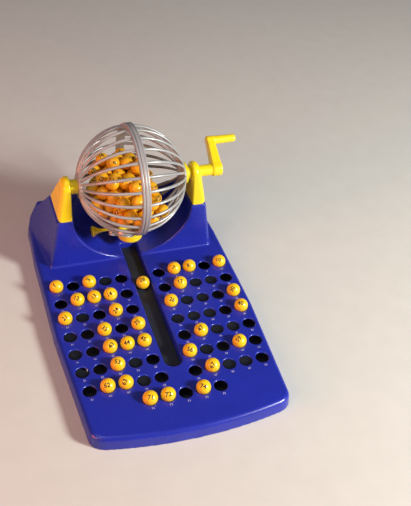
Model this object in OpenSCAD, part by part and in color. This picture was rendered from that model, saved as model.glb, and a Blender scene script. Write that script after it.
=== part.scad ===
// Tabletop bingo cage: a turning ball cage over a blue playing base with 75 ball sockets.
// Right-handed frame, +Z up, +X towards the crank, +Y towards the back of the base.
// The origin is the middle of the base's underside.

/* [Balls] */
// Ball diameter
ball_d = 15; // [14.6:0.1:15.2]
// Number of loose balls in the cage
heap_count = 128; // [20:1:128]

/* [Board] */
// Height of the board's top surface
board_z = 14.5; // [14:0.1:16]
// Wall thickness of the base shell
wall = 2.2; // [1.8:0.1:2.4]
// Half width of the base
base_half_w = 111; // [110:0.5:114]
// Distance from the origin to the front edge
front_y = 181; // [180:0.5:184]
// Distance from the origin to the back edge
back_y = 180; // [178:0.5:184]
// Spacing of the sockets along a row
pitch = 18.3; // [18:0.05:18.5]
// Spacing of the rows
row_pitch = 25.05; // [24.5:0.05:25.2]
// Gap between the two middle sockets, in socket spacings
centre_gap = 2.4; // [2.3:0.02:2.5]
// Socket hole radius
socket_r = 6.75; // [6.5:0.05:6.9]
// Radius of the socket's chamfered edge
socket_edge_r = 8.5; // [8.2:0.1:8.6]
// Width of the ball channel
channel_w = 18.8; // [18.4:0.1:20]

/* [Bowl block] */
// Front plane of the block
block_y = 74; // [72:0.5:76]
// Top of the block, where the caps sit
block_top = 77.6; // [76:0.1:79]
// Half width of the block's foot at its front
block_foot = 95.3; // [94:0.1:97]
// Half width of the block's foot at its back
block_foot_back = 106; // [100:0.5:107]
// Half width of the block's top
block_head = 85.5; // [85:0.1:87]
// Radius of the hollow under the cage
bowl_r = 70.6; // [70:0.1:71]

/* [Cage] */
// Height of the cage's axis
cage_z = 113; // [112.5:0.1:114]
// Depth position of the cage's axis
cage_y = 90; // [89:0.5:91]
// Radius of a rib's centreline
rib_path_r = 59.4; // [59:0.1:59.6]
// Rib thickness
rib_d = 3.3; // [3:0.1:3.4]
// Ribs in each half
rib_count = 24; // [20:1:24]
// Outer radius of the joining ring
ring_r = 62.6; // [62.2:0.1:63.4]
// Width of the ring's lip on the left half
ring_left_w = 2.8; // [2.6:0.1:3.4]
// Width of the ring's band on the right half
ring_right_w = 6.2; // [5.6:0.1:6.6]
// Exit port's angle, from straight down towards the front
port_angle = 32; // [10:1:50]

/* [Crank] */
// Shaft radius
shaft_r = 6.5; // [6:0.1:6.6]
// Arm length, axis to axis
crank_arm = 34.8; // [30:0.2:50]
// Angle of the arm above straight back
crank_angle = 35; // [0:1:90]
// Length of the grip
grip_len = 25; // [22:1:30]

/* [Catch cup and lever] */
// Height of the cup's rim
cup_rim_z = 45.9; // [44:0.1:46]
// Outer radius of the cup's rim
cup_r = 14.6; // [14:0.1:15]
// Sideways position of the cup's centre
cup_x = 0.5; // [-0.5:0.5:1]
// Height of the lever's pivot
lever_z = 44.5; // [44:0.1:45]

/* [Hidden] */
$fn = 64;

ball_r = ball_d / 2;
gap = 0.3;
run_fit = 0.05;
eps = 0.01;
rib_phase = 8;
ring_screw_r = 60.1;
tray_t = 2;
row_1_y = 40;
rows = 7;
last_row_count = 5;
bend_row = 5;
gap_step = 0.22;
socket_chamfer = 1.0;
ball_rest_z = board_z + 2.7;
channel_front_y = -90;
channel_back_y = 97;
floor_front_z = 4.5;
floor_back_z = 8.5;
floor_slope = (floor_back_z - floor_front_z) / (channel_back_y - channel_front_y);
floor_t = 1.8;
rolling_y = 27.4;
bowl_y = block_y + 10;
bowl_z = bowl_r + 15;
tower_x = 68.8;
tower_back_y = 128;
back_wall_y = 152;
back_wall_z = 47;
cap_head_r = 12.4;
cap_top_x = 77;
cap_wall = 2;
pole_x = 60.3;
pole_r = 15;
hub_gap = 0.5;
hub_r = 8;
trunnion_r = 4.5;
flange_r = 12;
elbow_x = 93.5;
elbow_w = 12;
grip_r = 4.8;
port_r = 11;
port_bore = 8.4;
port_side = 13.6;
port_tilt = asin(port_side / rib_path_r);
gate_arm = 14.5;
gate_z = 61.9;
gate_t = 1.3;
port_z = 56.8;
ear_z = 58.6;
pin_r = 1.3;
gate_pin_r = 1.5;
lever_x = -15;
screw_r = 1.4;
screw_head_r = 2.7;
screw_spots = [[90, 60], [86, -72.7], [60, -158], [85, 160]];
cap_screw_ys = [84, 118];
cap_screw_x = 77;
cup_foot_z = 24;
cup_foot_y = 109.8;
cup_screw_x = 11;
cup_wall = 1.6;
cup_throat = 8.4;
cup_bottom_z = 31;
plate_y = 104.4;
tongue_z = 28.6;
tongue_t = 1.8;

// A circular arc as a list of points
function arc(c, r, a0, a1, n) = [for (i = [0:n]) let (a = a0 + (a1 - a0) * i / n) c + r * [cos(a), sin(a)]];

// Front edge of the base: a shallow arc across the whole width
front_arc_r = 454.5;
function front_edge(x, inset) = -front_y + inset + front_arc_r - sqrt(front_arc_r * front_arc_r - x * x);

// Right half of the base's outline, from the middle of the front edge to the middle of the back
function half_outline(inset) = concat(
    [for (x = [0:15:90]) [x, front_edge(x, inset)]],
    arc([87, -155.5], 16.4 - inset, -75, -5, 6),
    [[base_half_w - inset, -30], [base_half_w - inset, 100]],
    arc([base_half_w - 32.5, back_y - 32], 30 - inset, 0, 85, 8),
    [[0, back_y - inset]]);

module outline(inset = 0) {
    right = half_outline(inset);
    left = [for (i = [len(right) - 2:-1:1]) [-right[i][0], right[i][1]]];
    polygon(concat(right, left));
}

// Centre of each socket, as [x, y], in number order
function socket_gap(row) = centre_gap - gap_step * max(0, row - bend_row);
function socket_x(row, col) = (col > 5 ? 1 : -1) * (socket_gap(row) / 2 + (col > 5 ? col - 6 : 5 - col)) * pitch;
sockets = concat(
    [for (row = [1:rows]) for (col = [1:10]) [socket_x(row, col), row_1_y - (row - 1) * row_pitch]],
    [for (col = [1:last_row_count]) [(col - 3) * pitch, row_1_y - rows * row_pitch]]);

// Numbers of the balls that stand on the board
called = [1, 3, 7, 8, 10, 12, 13, 14, 17, 21, 24, 26, 30, 33, 35, 40, 43, 44, 45, 47, 53, 56, 59, 62, 63, 67,
    71, 72, 74];

module screw(len, r = screw_r, head_r = screw_head_r) {
    // Head below z = 0, shank up to z = len
    translate([0, 0, -1.6]) cylinder(r = head_r, h = 1.6);
    translate([0, 0, -eps]) cylinder(r = r, h = len + eps);
}

// ---- Base ----

// Solid between a foot and a top of different plan, with leaning and slightly twisted sides
module leaning_sides(inset) {
    front = block_y - 1;
    back = back_wall_y + 20;
    foot = block_foot - inset;
    foot_back = block_foot_back - inset;
    head = block_head - inset;
    polyhedron(
        points = [[-foot, front, 5], [foot, front, 5], [foot_back, back, 5], [-foot_back, back, 5],
            [-head, front, block_top + 1], [head, front, block_top + 1], [head, back, block_top + 1],
            [-head, back, block_top + 1]],
        faces = [[0, 1, 2, 3], [7, 6, 5, 4], [0, 4, 5, 1], [3, 2, 6, 7], [1, 5, 6], [1, 6, 2], [4, 0, 7],
            [0, 3, 7]]);
}

module block_body(inset = 0) {
    // Side profile cut to the leaning sides and to the base's outline
    intersection() {
        rotate([90, 0, 90])
            translate([0, 0, -base_half_w])
                linear_extrude(2 * base_half_w)
                    polygon([[block_y + inset, 5], [block_y + inset, block_top - inset],
                        [tower_back_y - inset, block_top - inset], [back_wall_y - inset, back_wall_z - inset],
                        [back_wall_y + 6 - inset, back_wall_z - inset], [back_wall_y + 14 - inset, 5]]);
        leaning_sides(inset);
        linear_extrude(200) outline(inset);
    }
}

module bowl(grow = 0) {
    intersection() {
        translate([0, bowl_y, bowl_z]) sphere(r = bowl_r + grow, $fn = 96);
        translate([-tower_x - grow, 0, 0]) cube([2 * (tower_x + grow), 200, 200]);
    }
}

module channel_slot(width, z0, z1) {
    translate([-width / 2, channel_front_y, z0]) cube([width, channel_back_y - channel_front_y, z1 - z0]);
    translate([0, channel_front_y, z0]) cylinder(d = width, h = z1 - z0);
}

module cup_bosses() {
    for (side = [-1, 1])
        translate([side * cup_screw_x, cup_foot_y, board_z - 1]) cylinder(r = 4, h = cup_foot_z - board_z + 1);
}

module base_shell() color("#1c2aa0") {
    difference() {
        union() {
            difference() {
                union() {
                    linear_extrude(board_z) outline();
                    block_body();
                }
                difference() {
                    union() {
                        translate([0, 0, -1]) linear_extrude(board_z - wall + 1) outline(wall);
                        block_body(wall);
                    }
                    bowl(wall);
                    translate([0, 0, board_z - wall]) difference() {
                        linear_extrude(wall) outline();
                        block_body(wall);
                    }
                    for (side = [-1, 1])
                        for (spot = screw_spots)
                            translate([side * spot[0], spot[1], tray_t]) cylinder(r = 3.4, h = board_z);
                    channel_slot(channel_w + 4, 4.2, board_z);
                }
                bowl();
            }
            cup_bosses();
        }
        channel_slot(channel_w, -1, board_z + 12);
        for (p = sockets) translate([p[0], p[1], 0]) {
            cylinder(r = socket_r, h = board_z + 1);
            translate([0, 0, board_z - socket_chamfer])
                cylinder(r1 = socket_r, r2 = socket_edge_r, h = socket_chamfer + eps);
        }
        for (side = [-1, 1]) {
            for (spot = screw_spots)
                translate([side * spot[0], spot[1], -1]) cylinder(r = screw_r, h = 11);
            for (y = cap_screw_ys)
                translate([side * cap_screw_x, y, block_top - wall - 1]) cylinder(r = screw_r, h = wall + 2);
            translate([side * cup_screw_x, cup_foot_y, 12]) cylinder(r = screw_r, h = 13);
        }
    }
}

module channel_bed(x0, x1, drop) {
    // Slice of the bed under the sloping channel floor, down to the tray's plate
    translate([x0, 0, 0])
        rotate([90, 0, 90])
            linear_extrude(x1 - x0)
                polygon([[channel_front_y, drop], [channel_back_y, drop], [channel_back_y, floor_back_z],
                    [channel_front_y, floor_front_z]]);
}

module base_tray() color("#202228") {
    half = channel_w / 2 - gap;
    difference() {
        union() {
            linear_extrude(tray_t) outline(wall + 0.4);
            for (side = [-1, 1])
                translate([side * (half - 0.9) - 0.9, 0, 0]) channel_bed(0, 1.8, tray_t - eps);
            // Sloping floor
            translate([-half, 0, 0]) rotate([90, 0, 90]) linear_extrude(2 * half)
                polygon([[channel_front_y, floor_front_z - floor_t], [channel_back_y, floor_back_z - floor_t],
                    [channel_back_y, floor_back_z], [channel_front_y, floor_front_z]]);
            translate([0, channel_front_y, tray_t - eps]) difference() {
                cylinder(r = half, h = floor_front_z - tray_t + eps);
                translate([-half, 0, -1]) cube([2 * half, half, 10]);
            }
        }
        for (side = [-1, 1])
            for (spot = screw_spots)
                translate([side * spot[0], spot[1], -1]) {
                    cylinder(r = screw_r + 0.2, h = 5);
                    cylinder(r = screw_head_r + 0.2, h = 1.9);
                }
    }
}

module base_screws() color("#b8bcc2") {
    for (side = [-1, 1])
        for (spot = screw_spots)
            translate([side * spot[0], spot[1], 0]) {
                translate([0, 0, 0.1]) cylinder(r = screw_head_r, h = 0.8);
                translate([0, 0, 0.5]) cylinder(r = screw_r, h = 9);
            }
}

// ---- Caps that hold the cage's shafts ----

function cap_profile(inset) = concat(
    [[block_y + inset, block_top]],
    [[tower_back_y - inset, block_top]],
    arc([cage_y, cage_z], cap_head_r - inset, 38, 173, 14));

module cap_solid(inset, z_lift = 0) {
    // Right-hand cap; the outer face leans inwards
    intersection() {
        translate([tower_x + inset, 0, z_lift])
            rotate([90, 0, 90])
                linear_extrude(block_head - tower_x)
                    polygon(cap_profile(inset));
        translate([0, 200, 0])
            rotate([90, 0, 0])
                linear_extrude(200)
                    polygon([[tower_x + inset, block_top - 1], [block_head - inset, block_top - 1],
                        [cap_top_x - inset, cage_z + cap_head_r + 1], [tower_x + inset, cage_z + cap_head_r + 1]]);
    }
}

module cap(bore_r, bore_end) {
    difference() {
        union() {
            difference() {
                cap_solid(0);
                cap_solid(cap_wall, -eps);
            }
            intersection() {
                cap_solid(0);
                union() {
                    translate([tower_x, cage_y, cage_z]) rotate([0, 90, 0]) cylinder(r = bore_r + 3, h = 20);
                    for (y = cap_screw_ys) translate([cap_screw_x, y, block_top]) cylinder(r = 3.6, h = 11);
                    translate([cap_screw_x - 1, block_y, block_top]) cube([2, cap_screw_ys[0] - block_y, 11]);
                }
            }
        }
        translate([tower_x - 1, cage_y, cage_z]) rotate([0, 90, 0]) cylinder(r = bore_r, h = bore_end);
        for (y = cap_screw_ys) translate([cap_screw_x, y, block_top - 1]) cylinder(r = screw_r, h = 10);
    }
}

module left_cap() color("#f0b818") mirror([1, 0, 0]) cap(trunnion_r + run_fit, 9.5);
module right_cap() color("#f0d81c") cap(shaft_r + run_fit, 30);

module cap_screws() color("#b8bcc2") {
    for (side = [-1, 1])
        for (y = cap_screw_ys)
            translate([side * cap_screw_x, y, block_top - wall]) screw(10);
}

// ---- Catch cup and release lever ----

module catch_cup() color("#f0d81c") {
    difference() {
        union() {
            // Straight wall with a rounded bottom
            translate([cup_x, cage_y, 0]) rotate_extrude($fn = 64)
                polygon(concat([[0, cup_bottom_z]], arc([cup_r - 5, cup_bottom_z + 5], 5, -90, 0, 8),
                    [[cup_r, cup_rim_z], [0, cup_rim_z]]));
            // Back plate, its foot and its link to the cup
            translate([-15.5, plate_y, cup_foot_z]) cube([31, 2.4, 17]);
            translate([-15.5, plate_y, cup_foot_z]) cube([31, 9, 2]);
            translate([-10, 98, cup_bottom_z + 2]) cube([20, plate_y - 97, 6]);
            // Ear for the lever's pin
            translate([lever_x - 3, plate_y - 0.4, cup_foot_z + 10]) cube([6, 2.4, lever_z + 3 - cup_foot_z - 10]);
        }
        // Mouth and throat
        translate([cup_x, cage_y, 0]) rotate_extrude($fn = 64)
            polygon([[0, cup_bottom_z - 1], [cup_throat, cup_bottom_z - 1], [cup_throat, 35], [cup_r - cup_wall, 39.5],
                [cup_r - cup_wall, cup_rim_z + 1], [0, cup_rim_z + 1]]);
        translate([lever_x, 80, lever_z]) rotate([-90, 0, 0]) cylinder(r = pin_r, h = 40);
        for (side = [-1, 1])
            translate([side * cup_screw_x, cup_foot_y, cup_foot_z - 1]) cylinder(r = screw_r + 0.1, h = 4);
    }
}

module cup_screws() color("#b8bcc2") {
    for (side = [-1, 1])
        translate([side * cup_screw_x, cup_foot_y, cup_foot_z + 2]) rotate([180, 0, 0]) screw(9);
}

// Knob profile: radius against distance along the stem, flaring like a trumpet
function knob_r(t) = 1.9 + 4.6 * pow(t, 2.2);

module release_lever() color("#f0d81c") {
    stem_z = lever_z + 2;
    knob_x0 = -29;
    knob_len = 14;
    bar_x = lever_x - 3.6;
    leg_y = 99.2;
    leg_w = 3.6;
    difference() {
        union() {
            translate([knob_x0, cage_y, stem_z]) rotate([0, 90, 0]) cylinder(r = 1.9, h = 11);
            translate([knob_x0, cage_y, stem_z]) rotate([0, -90, 0]) rotate_extrude()
                polygon(concat([[0, -1]], [[1.85, -1]],
                    [for (i = [0:10]) [knob_r(i / 10), knob_len * i / 10]],
                    [[6.1, knob_len + 1.2], [0, knob_len + 1.6]]));
            // Bar back to the pivot, leg down beside the cup, tongue under the throat
            translate([bar_x, cage_y - 1.9, stem_z - 1.6]) cube([2.8, leg_y + leg_w - cage_y + 1.9, 3.2]);
            translate([lever_x, leg_y, lever_z]) rotate([-90, 0, 0]) cylinder(r = 3, h = leg_w);
            translate([bar_x, leg_y, lever_z]) cube([3.6, leg_w, 3.6]);
            translate([lever_x - 1.2, leg_y, tongue_z]) cube([2.4, leg_w, lever_z - tongue_z]);
            translate([lever_x - 1.2, leg_y, tongue_z]) cube([1.5 - lever_x + 1.2, leg_w, tongue_t]);
            translate([-5, cage_y - 3.5, tongue_z]) cube([6.5, leg_y - cage_y + 4.5, tongue_t]);
        }
        translate([lever_x, 80, lever_z]) rotate([-90, 0, 0]) cylinder(r = pin_r + run_fit, h = 40);
    }
}

module lever_pin() color("#b8bcc2")
    translate([lever_x, 99.3, lever_z]) rotate([-90, 0, 0]) cylinder(r = pin_r, h = 7.3);

module lever_spring() color("#9a9ea4")
    translate([lever_x, 102.9, lever_z]) rotate([-90, 0, 0]) difference() {
        cylinder(r = 2.6, h = 0.9);
        translate([0, 0, -1]) cylinder(r = 1.7, h = 5);
    }

// ---- Cage ----

module on_cage() translate([0, cage_y, cage_z]) children();

// Half of the cage on the +X side, with a ring of width w
module cage_half(w) {
    start_a = asin((pole_r - 2) / rib_path_r);
    end_a = 90 - asin((w - 1.5) / rib_path_r);
    ring_in = rib_path_r - rib_d / 2 - 0.15;
    for (i = [0:rib_count - 1])
        rotate([i * 360 / rib_count + rib_phase, 0, 0])
            rotate([90, 0, 0])
                rotate([0, 0, start_a])
                    rotate_extrude(angle = end_a - start_a, $fn = 96)
                        translate([rib_path_r, 0]) circle(d = rib_d, $fn = 24);
    rotate([0, 90, 0]) rotate_extrude($fn = 96)
        polygon([[ring_in, 0], [ring_r - 1.1, 0], [ring_r, 0.7], [ring_r, w - 0.5], [ring_r - 0.8, w],
            [ring_in, w]]);
    rotate([0, 90, 0]) rotate_extrude($fn = 96)
        polygon([[0, 56.6], [pole_r, 56.6], [pole_r, 59], [pole_r - 1.5, pole_x], [0, pole_x]]);
}

ring_screw_angles = [45, 135, 225, 315];
hub_screw_angles = [90, 210, 330];
left_screw_ring = 5;
right_screw_ring = 9.5;

// Blind holes for the ring's screws, put in from the left
module ring_holes(r) {
    for (a = ring_screw_angles)
        rotate([a, 0, 0]) translate([-ring_left_w - 1, 0, ring_screw_r]) rotate([0, 90, 0])
            cylinder(r = r, h = ring_left_w + 5);
}

module hub_holes(side, spread, r) {
    for (a = hub_screw_angles)
        rotate([a, 0, 0])
            translate([side * 50, 0, spread]) rotate([0, side * 90, 0]) cylinder(r = r, h = 16);
}

// Port frame: +Z runs out through the port, +Y lies along the cage's rim
module at_port() on_cage() rotate([180 - port_angle, 0, 0]) rotate([0, -port_tilt, 0]) children();

module cage_left_half() color("#a8a6ac") difference() {
    on_cage() difference() {
        mirror([1, 0, 0]) cage_half(ring_left_w);
        ring_holes(1);
        hub_holes(-1, left_screw_ring, 1.1);
    }
    at_port() translate([0, 0, 50]) cylinder(r = port_r, h = 20);
}

module cage_right_half() color("#c4c8cc") on_cage() difference() {
    cage_half(ring_right_w);
    ring_holes(1);
    hub_holes(1, right_screw_ring, 1.1);
    translate([50, 0, 0]) rotate([0, 90, 0]) cylinder(r = 1.6, h = 20);
}

module ring_screws() color("#b8bcc2") on_cage()
    for (a = ring_screw_angles) rotate([a, 0, 0]) translate([-ring_left_w, 0, ring_screw_r]) rotate([0, 90, 0]) {
        cylinder(r = 1, h = ring_left_w + 3.8);
        translate([0, 0, -0.6]) cylinder(r = 1.7, h = 0.6);
    }

module left_hub() color("#d88a18") on_cage() difference() {
    rotate([0, -90, 0]) {
        translate([0, 0, pole_x]) cylinder(r = hub_r, h = tower_x - hub_gap - pole_x);
        translate([0, 0, pole_x]) cylinder(r = trunnion_r, h = 16.5);
    }
    hub_holes(-1, left_screw_ring, 1);
}

module right_hub() color("#f0d81c") on_cage() difference() {
    rotate([0, 90, 0]) {
        translate([0, 0, pole_x]) cylinder(r = flange_r, h = 3);
        translate([0, 0, pole_x]) cylinder(r = 7.5, h = tower_x - hub_gap - pole_x);
    }
    translate([pole_x - 1, 0, 0]) rotate([0, 90, 0]) cylinder(r = 4, h = 20);
    hub_holes(1, right_screw_ring, 1);
}

module hub_screws() color("#b8bcc2") on_cage() {
    for (a = hub_screw_angles) {
        rotate([a, 0, 0]) translate([-56.6, 0, left_screw_ring]) rotate([0, -90, 0]) screw(8, 1, 1.9);
        rotate([a, 0, 0]) translate([56.6, 0, right_screw_ring]) rotate([0, 90, 0]) screw(5.5, 1, 1.9);
    }
}

module crank_screw() color("#b8bcc2") on_cage()
    translate([56.6, 0, 0]) rotate([0, 90, 0]) screw(9, 1.6, 3);

module crank_handle() color("#f0d81c") on_cage() {
    difference() {
        union() {
            translate([pole_x, 0, 0]) rotate([0, 90, 0]) cylinder(r = 3.95, h = tower_x - pole_x);
            translate([tower_x - 0.4, 0, 0]) rotate([0, 90, 0]) cylinder(r = shaft_r, h = elbow_x - tower_x + 0.4 + eps);
        }
        translate([pole_x - 1, 0, 0]) rotate([0, 90, 0]) cylinder(r = 1.6, h = 7);
    }
    translate([elbow_x, 0, 0]) rotate([0, 90, 0]) cylinder(r = 8, h = elbow_w);
    // Tapered arm
    rotate([crank_angle, 0, 0]) translate([elbow_x, 0, 0]) {
        translate([1, 0, 0]) rotate([90, 0, 90]) linear_extrude(elbow_w - 2)
            polygon([[-1, -7.4], [crank_arm, -4.9], [crank_arm, 4.9], [-1, 7.4]]);
        translate([1.2, crank_arm, 0]) rotate([0, 90, 0]) cylinder(r = 5.3, h = elbow_w - 1.2);
        translate([elbow_w - eps, crank_arm, 0]) rotate([0, 90, 0]) {
            cylinder(r = grip_r, h = grip_len - grip_r);
            translate([0, 0, grip_len - grip_r]) intersection() {
                sphere(r = grip_r);
                cylinder(r = grip_r + 1, h = grip_r + 1);
            }
        }
    }
}

// ---- Exit port, its swivelling gate and the pin ----

module exit_port() color("#a8a6ac") at_port() difference() {
    union() {
        translate([0, 0, port_z]) cylinder(r = port_r, h = gate_z - gap - port_z);
        // Ear that carries the gate's pin, towards the pole
        translate([-gate_arm, 0, ear_z]) cylinder(r = 3.6, h = gate_z - gap - ear_z);
        translate([-gate_arm, -3, ear_z]) cube([gate_arm - 8.5, 6, gate_z - gap - ear_z]);
    }
    translate([0, 0, 50]) cylinder(r = port_bore, h = 20);
    translate([-gate_arm, 0, 50]) cylinder(r = gate_pin_r, h = 20);
}

module exit_gate() color("#8e8c92") at_port() difference() {
    union() {
        translate([0, 0, gate_z]) cylinder(r = 9.4, h = gate_t);
        translate([-gate_arm, 0, gate_z]) cylinder(r = 3.4, h = gate_t);
        translate([-gate_arm, -2.6, gate_z]) cube([gate_arm, 5.2, gate_t]);
    }
    translate([-gate_arm, 0, 50]) cylinder(r = gate_pin_r + run_fit, h = 20);
}

module gate_pin() color("#b8bcc2") at_port() translate([-gate_arm, 0, 0]) {
    translate([0, 0, ear_z]) cylinder(r = gate_pin_r, h = gate_z + gate_t + gap - ear_z + 0.5);
    translate([0, 0, gate_z + gate_t + gap]) cylinder(r = 2.5, h = 0.6);
}

// ---- Balls ----

// The heap settles by pushing overlapping balls apart inside the cage while they sink a little each pass.
heap_reach = 48.9;
heap_side = 46.8;
heap_right = 20;
heap_left = 40;
heap_top = 13.5;
touch = ball_d + 0.25;
function inside(p) = norm(p) < heap_reach && p[2] - 0.12 * p[1] < heap_top
    && p[0] + 0.3 * p[2] < heap_right && 0.8 * p[2] - p[0] < heap_left;
// A lattice leans in the cage, so that the heap's surface isn't one flat layer
function leaned(p) = let (a = -14, b = 9, y = p[1] * cos(a) - p[2] * sin(a), z = p[1] * sin(a) + p[2] * cos(a))
    [p[0] * cos(b) + z * sin(b), y, z * cos(b) - p[0] * sin(b)];
function start_balls() = let (s = 15.6, h = s * sqrt(3) / 2, v = s * sqrt(2 / 3),
        j = rands(-1.6, 1.6, 3 * 1400, 11),
        grid = [for (c = [-6:3]) for (b = [-5:5]) for (a = [-5:5])
            let (k = abs(((c + 6) * 11 + b + 5) * 11 + a + 5) % 1400)
            [a * s + (abs(b) % 2) * s / 2 + (abs(c) % 2) * s / 2 + j[3 * k] - 2,
             b * h + (abs(c) % 2) * h / 3 + j[3 * k + 1],
             c * v + j[3 * k + 2] + 3]])
    [for (p = grid) let (q = leaned(p)) if (inside(q)) q];
function push_from(p, q) = let (d = p - q, l = norm(d)) l < touch && l > 0.001 ? d * (touch - l) / l : [0, 0, 0];
function sum(v, i = 0, t = [0, 0, 0]) = i >= len(v) ? t : sum(v, i + 1, t + v[i]);
function keep_in(p) = let (l = norm(p), q = l > heap_reach ? p * heap_reach / l : p)
    [max(-heap_side, min(heap_side, q[0])), q[1], q[2]];
function settle(balls, passes, sink) = passes == 0 ? balls :
    settle([for (p = balls)
        keep_in(p + 0.45 * sum([for (q = balls) if (abs(p[2] - q[2]) < touch) push_from(p, q)]) - [0, 0, sink])],
        passes - 1, sink);

module ball(p) translate(p) sphere(r = ball_r, $fn = 48);

module cage_balls() color("#f09018") {
    first = start_balls();
    heap = settle(settle([for (i = [0:min(len(first), heap_count) - 1]) first[i]], 40, 0.12), 25, 0);
    on_cage() for (p = heap) ball(p);
}

module rolling_ball() color("#f09018")
    ball([0, rolling_y, floor_front_z + (rolling_y - channel_front_y) * floor_slope + ball_r + 0.25]);

module called_balls() color("#f09018")
    for (n = called) ball([sockets[n - 1][0], sockets[n - 1][1], ball_rest_z]);

base_shell();
base_tray();
base_screws();
left_cap();
right_cap();
cap_screws();
catch_cup();
cup_screws();
release_lever();
lever_pin();
lever_spring();
cage_left_half();
cage_right_half();
ring_screws();
left_hub();
right_hub();
hub_screws();
crank_handle();
crank_screw();
exit_port();
exit_gate();
gate_pin();
cage_balls();
rolling_ball();
called_balls();
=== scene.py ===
"""Tabletop bingo cage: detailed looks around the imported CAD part.

Pieces are made in millimetres in the row frame and scaled to metres when their mesh is built. Moulded
parts are distance fields with filleted joins, turned into quad meshes by a surface-nets mesher; the cage
is swept and lathed; balls carry their numbers as raised print wrapped on the sphere.
"""

import math

import bmesh
import bpy
import numpy as np
from mathutils import Matrix, Vector


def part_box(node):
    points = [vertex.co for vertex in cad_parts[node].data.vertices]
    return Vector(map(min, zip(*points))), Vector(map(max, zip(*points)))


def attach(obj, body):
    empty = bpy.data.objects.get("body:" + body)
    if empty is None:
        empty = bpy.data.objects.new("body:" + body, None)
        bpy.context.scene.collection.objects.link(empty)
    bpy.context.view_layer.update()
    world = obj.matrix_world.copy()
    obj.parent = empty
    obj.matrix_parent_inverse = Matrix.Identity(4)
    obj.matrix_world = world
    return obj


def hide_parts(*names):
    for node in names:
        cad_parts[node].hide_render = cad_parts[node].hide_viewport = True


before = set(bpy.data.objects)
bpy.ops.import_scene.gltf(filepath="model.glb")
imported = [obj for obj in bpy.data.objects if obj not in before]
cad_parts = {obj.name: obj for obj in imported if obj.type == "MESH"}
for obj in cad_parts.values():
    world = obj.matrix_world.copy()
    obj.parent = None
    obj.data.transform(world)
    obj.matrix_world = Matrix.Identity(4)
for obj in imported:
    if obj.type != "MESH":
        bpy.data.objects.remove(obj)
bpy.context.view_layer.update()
MM = 0.001


# ---------------------------------------------------------------- distance fields


def box2(u, v, hu, hv, r=0.0):
    """Distance to a rectangle with half sides hu, hv and corner radius r."""
    a = np.abs(u) - (hu - r)
    b = np.abs(v) - (hv - r)
    return np.hypot(np.maximum(a, 0), np.maximum(b, 0)) + np.minimum(np.maximum(a, b), 0) - r


def join(a, b, r):
    """Union with a circular fillet of radius r."""
    u = np.maximum(r - a, 0)
    v = np.maximum(r - b, 0)
    return np.maximum(r, np.minimum(a, b)) - np.sqrt(u * u + v * v)


def meet(a, b, r):
    """Intersection with a rounded edge of radius r."""
    u = np.maximum(r + a, 0)
    v = np.maximum(r + b, 0)
    return np.minimum(-r, np.maximum(a, b)) + np.sqrt(u * u + v * v)


def cut(a, b, r):
    """a without b, with a rounded edge of radius r."""
    return meet(a, -b, r)


def polygon_distance(points, u, v):
    """Signed distance to a closed polygon, negative inside."""
    pts = np.asarray(points, float)
    u, v = np.broadcast_arrays(u, v)
    best = np.full(u.shape, 1e18)
    inside = np.zeros(u.shape, bool)
    for (ax, ay), (bx, by) in zip(pts, np.roll(pts, -1, axis=0)):
        ex, ey = bx - ax, by - ay
        wx, wy = u - ax, v - ay
        t = np.clip((wx * ex + wy * ey) / (ex * ex + ey * ey), 0, 1)
        best = np.minimum(best, (wx - t * ex) ** 2 + (wy - t * ey) ** 2)
        crosses = (ay > v) != (by > v)
        if ey:
            inside ^= crosses & (u < ax + (v - ay) * ex / ey)
    return np.where(inside, -1.0, 1.0) * np.sqrt(best)


def arc_points(cx, cy, r, a0, a1, n):
    """Points on an arc from a0 to a1 degrees."""
    a = np.radians(np.linspace(a0, a1, n + 1))
    return list(zip(cx + r * np.cos(a), cy + r * np.sin(a)))


# ---------------------------------------------------------------- surface-nets mesher

BLOCK = 8  # cells along each side of a block
BATCH = 160  # blocks worked out at a time
SLOPE_STEP = 0.02  # mm, across which a field's slope is taken
PULLS = 3  # times that the vertices are pulled onto the surface


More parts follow.
